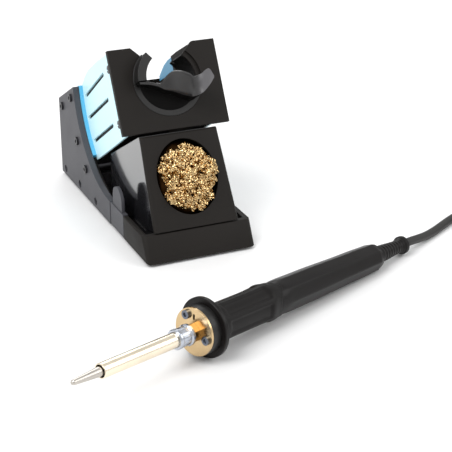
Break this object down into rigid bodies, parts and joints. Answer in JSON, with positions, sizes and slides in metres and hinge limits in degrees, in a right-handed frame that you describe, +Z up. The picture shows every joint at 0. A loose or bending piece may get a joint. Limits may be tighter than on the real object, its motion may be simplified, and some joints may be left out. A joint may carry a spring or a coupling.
{
  "type": "soldering iron station",
  "caption": "Soldering iron lying in front of its holder stand, which has a tilting cradle with a funnel seat, and a pull-out tray with a brass wool tip cleaner.",
  "frame": {"origin": "middle of the stand's footprint, on the table that everything rests on", "axes": "+Z up, +Y from the stand's front to its back, +X to the right as seen from the front"},
  "size_m": [0.3544, 0.2851, 0.1059],
  "materials": {
    "wall_plastic": "fine matte texture",
    "black_plastic": "fine matte texture",
    "gloss_black": "glossy",
    "satin_black": "satin",
    "handle_plastic": "satin",
    "cyan_plastic": "satin",
    "grip_rubber": "soft satin",
    "foot_rubber": "matte",
    "lead_sheath": "matte",
    "tie": "woven hook tape",
    "steel": "brushed",
    "dark_steel": "blackened",
    "zinc": "bright zinc plate",
    "black_screw": "black oxide",
    "brass": "satin",
    "dark_brass": "satin",
    "brass_wool": "curled turnings",
    "barrel_metal": "satin, champagne tint",
    "tip_metal": "plated, tinned end",
    "ceramic": "ceramic",
    "board": "circuit board",
    "chrome": "plated"
  },
  "bodies": {
    "stand": {"left_side_wall": "wall_plastic", "right_side_wall": "wall_plastic", "base_plate": "black_plastic", "rear_cover": "black_plastic", "base_weight": "steel", "stand_mat": "foot_rubber", "side_wall_screws": "black_screw", "cross_spacers": "black_screw", "base_screws": "black_screw", "cradle_guides": "black_plastic", "detent_spring": "steel"},
    "tab_left": {"release_tab_left": "wall_plastic"},
    "tab_right": {"release_tab_right": "wall_plastic"},
    "cradle": {"cradle": "cyan_plastic", "cradle_frame": "black_plastic", "head_plate": "black_plastic", "funnel_insert": "satin_black", "funnel_scoop": "satin_black", "heat_shield": "dark_steel", "cradle_screws": "black_screw"},
    "tray": {"front_tray": "black_plastic", "tray_feet": "foot_rubber", "wool_box_body": "gloss_black", "wool_box_front": "black_plastic", "brass_wool": "brass_wool", "box_screws": "zinc"},
    "iron": {"rear_handle": "handle_plastic", "grip": "grip_rubber", "guard_flange": "handle_plastic", "front_carrier": "satin_black", "brass_plate": "brass", "plate_screws": "zinc", "hex_stub": "dark_brass", "heater": "ceramic", "contact_board": "board", "cable_clamp": "steel", "strain_relief": "grip_rubber", "cable": "lead_sheath", "cable_coil": "lead_sheath", "coil_tie": "tie", "connector_boot": "grip_rubber", "connector_shell": "chrome", "connector_ring": "chrome", "connector_insert": "satin_black", "connector_pins": "brass"},
    "barrel": {"barrel": "barrel_metal", "tip": "tip_metal"},
    "nut": {"union_nut": "zinc"}
  },
  "joints": [
    {"name": "cradle_tilt", "type": "hinge", "parent": "stand", "child": "cradle", "pos_m": [0, -0.015, 0.078], "axis": [-1, 0, 0], "range_deg": [0, 24]},
    {"name": "tray_pull", "type": "slide", "parent": "stand", "child": "tray", "axis": [0, -1, 0], "range_m": [0, 0.06]},
    {"name": "tab_left_press", "type": "hinge", "parent": "stand", "child": "tab_left", "pos_m": [-0.0303, -0.027, 0.002], "axis": [0, 1, 0], "range_deg": [0, 5], "stiffness_Nm_per_rad": 0.4},
    {"name": "tab_right_press", "type": "hinge", "parent": "stand", "child": "tab_right", "pos_m": [0.0303, -0.027, 0.002], "axis": [0, -1, 0], "range_deg": [0, 5], "stiffness_Nm_per_rad": 0.4},
    {"name": "iron_lift", "type": "slide", "parent": "stand", "child": "iron", "axis": [0, 0, 1], "range_m": [0, 0.1]},
    {"name": "barrel_pull", "type": "slide", "parent": "iron", "child": "barrel", "axis": [-0.9208, -0.3852, 0.0612], "range_m": [0, 0.05]},
    {"name": "nut_spin", "type": "hinge", "parent": "barrel", "child": "nut", "pos_m": [-0.0407, -0.1759, 0.01503], "axis": [0.9208, 0.3852, -0.0612], "continuous": true}
  ]
}
